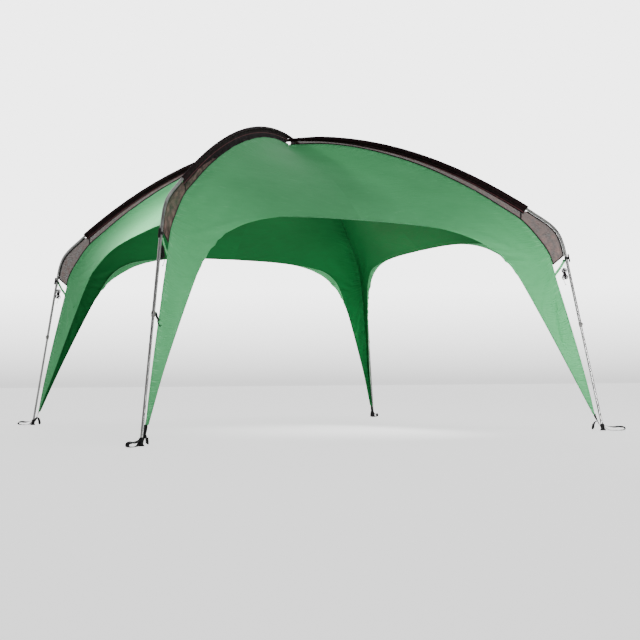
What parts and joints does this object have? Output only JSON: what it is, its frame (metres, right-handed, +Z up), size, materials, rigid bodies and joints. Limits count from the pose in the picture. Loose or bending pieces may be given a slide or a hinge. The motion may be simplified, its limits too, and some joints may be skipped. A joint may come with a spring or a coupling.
{
  "type": "tarp shelter",
  "caption": "Free-standing shade shelter: a taut fabric roof under two crossing arched poles, open arched sides, and telescoping legs with strapped-down corner flaps.",
  "frame": {"origin": "floor level under the middle of the shelter", "axes": "+Z up, -Y out through the front-right opening, the front leg at -X -Y"},
  "size_m": [3.9188, 3.9188, 2.543],
  "materials": {
    "pole_metal": "satin anodised tube",
    "canopy_fabric": "coated woven polyester, soft sheen",
    "sleeve_fabric": "matte woven sleeve",
    "vent_mesh": "fine see-through mesh",
    "black_plastic": "moulded, fine texture",
    "grey_plastic": "moulded",
    "button_plastic": "moulded",
    "black_webbing": "ribbed webbing",
    "guy_cord": "braided cord"
  },
  "bodies": {
    "canopy_frame": {"roof_pole_front": "pole_metal", "elbow_front": "pole_metal", "upper_leg_front": "pole_metal", "lock_collar_front": "grey_plastic", "vent_mesh_front": "vent_mesh", "corner_clip_front": "black_plastic", "leg_flap_front": "canopy_fabric", "guy_hank_front": "guy_cord", "roof_pole_right": "pole_metal", "elbow_right": "pole_metal", "upper_leg_right": "pole_metal", "lock_collar_right": "grey_plastic", "vent_mesh_right": "vent_mesh", "corner_clip_right": "black_plastic", "leg_flap_right": "canopy_fabric", "guy_hank_right": "guy_cord", "roof_pole_back": "pole_metal", "elbow_back": "pole_metal", "upper_leg_back": "pole_metal", "lock_collar_back": "grey_plastic", "vent_mesh_back": "vent_mesh", "corner_clip_back": "black_plastic", "leg_flap_back": "canopy_fabric", "guy_hank_back": "guy_cord", "roof_pole_left": "pole_metal", "elbow_left": "pole_metal", "upper_leg_left": "pole_metal", "lock_collar_left": "grey_plastic", "vent_mesh_left": "vent_mesh", "corner_clip_left": "black_plastic", "leg_flap_left": "canopy_fabric", "guy_hank_left": "guy_cord", "canopy_panel_front_right": "canopy_fabric", "canopy_panel_back_right": "canopy_fabric", "canopy_panel_back_left": "canopy_fabric", "canopy_panel_front_left": "canopy_fabric", "pole_sleeve_front_back": "sleeve_fabric", "pole_sleeve_left_right": "sleeve_fabric", "ridge_ferrule_front_back": "pole_metal", "ridge_ferrule_left_right": "pole_metal"},
    "leg_front": {"lower_leg_front": "pole_metal", "foot_front": "black_plastic", "ground_strap_front": "black_webbing", "strap_buckle_front": "black_plastic"},
    "button_front": {"lock_button_front": "button_plastic"},
    "leg_right": {"lower_leg_right": "pole_metal", "foot_right": "black_plastic", "ground_strap_right": "black_webbing", "strap_buckle_right": "black_plastic"},
    "button_right": {"lock_button_right": "button_plastic"},
    "leg_back": {"lower_leg_back": "pole_metal", "foot_back": "black_plastic", "ground_strap_back": "black_webbing", "strap_buckle_back": "black_plastic"},
    "button_back": {"lock_button_back": "button_plastic"},
    "leg_left": {"lower_leg_left": "pole_metal", "foot_left": "black_plastic", "ground_strap_left": "black_webbing", "strap_buckle_left": "black_plastic"},
    "button_left": {"lock_button_left": "button_plastic"}
  },
  "joints": [
    {"name": "leg_slide_front", "type": "slide", "parent": "canopy_frame", "child": "leg_front", "axis": [0.1297, 0.1297, 0.983], "range_m": [0, 0.2], "deforming": ["leg_flap_front"]},
    {"name": "lock_press_front", "type": "slide", "parent": "canopy_frame", "child": "button_front", "axis": [0.6951, 0.6951, -0.1834], "range_m": [0, 0.003], "stiffness_N_per_m": 500},
    {"name": "leg_slide_right", "type": "slide", "parent": "canopy_frame", "child": "leg_right", "axis": [-0.1297, 0.1297, 0.983], "range_m": [0, 0.2], "deforming": ["leg_flap_right"]},
    {"name": "lock_press_right", "type": "slide", "parent": "canopy_frame", "child": "button_right", "axis": [-0.6951, 0.6951, -0.1834], "range_m": [0, 0.003], "stiffness_N_per_m": 500},
    {"name": "leg_slide_back", "type": "slide", "parent": "canopy_frame", "child": "leg_back", "axis": [-0.1297, -0.1297, 0.983], "range_m": [0, 0.2], "deforming": ["leg_flap_back"]},
    {"name": "lock_press_back", "type": "slide", "parent": "canopy_frame", "child": "button_back", "axis": [-0.6951, -0.6951, -0.1834], "range_m": [0, 0.003], "stiffness_N_per_m": 500},
    {"name": "leg_slide_left", "type": "slide", "parent": "canopy_frame", "child": "leg_left", "axis": [0.1297, -0.1297, 0.983], "range_m": [0, 0.2], "deforming": ["leg_flap_left"]},
    {"name": "lock_press_left", "type": "slide", "parent": "canopy_frame", "child": "button_left", "axis": [0.6951, -0.6951, -0.1834], "range_m": [0, 0.003], "stiffness_N_per_m": 500}
  ]
}
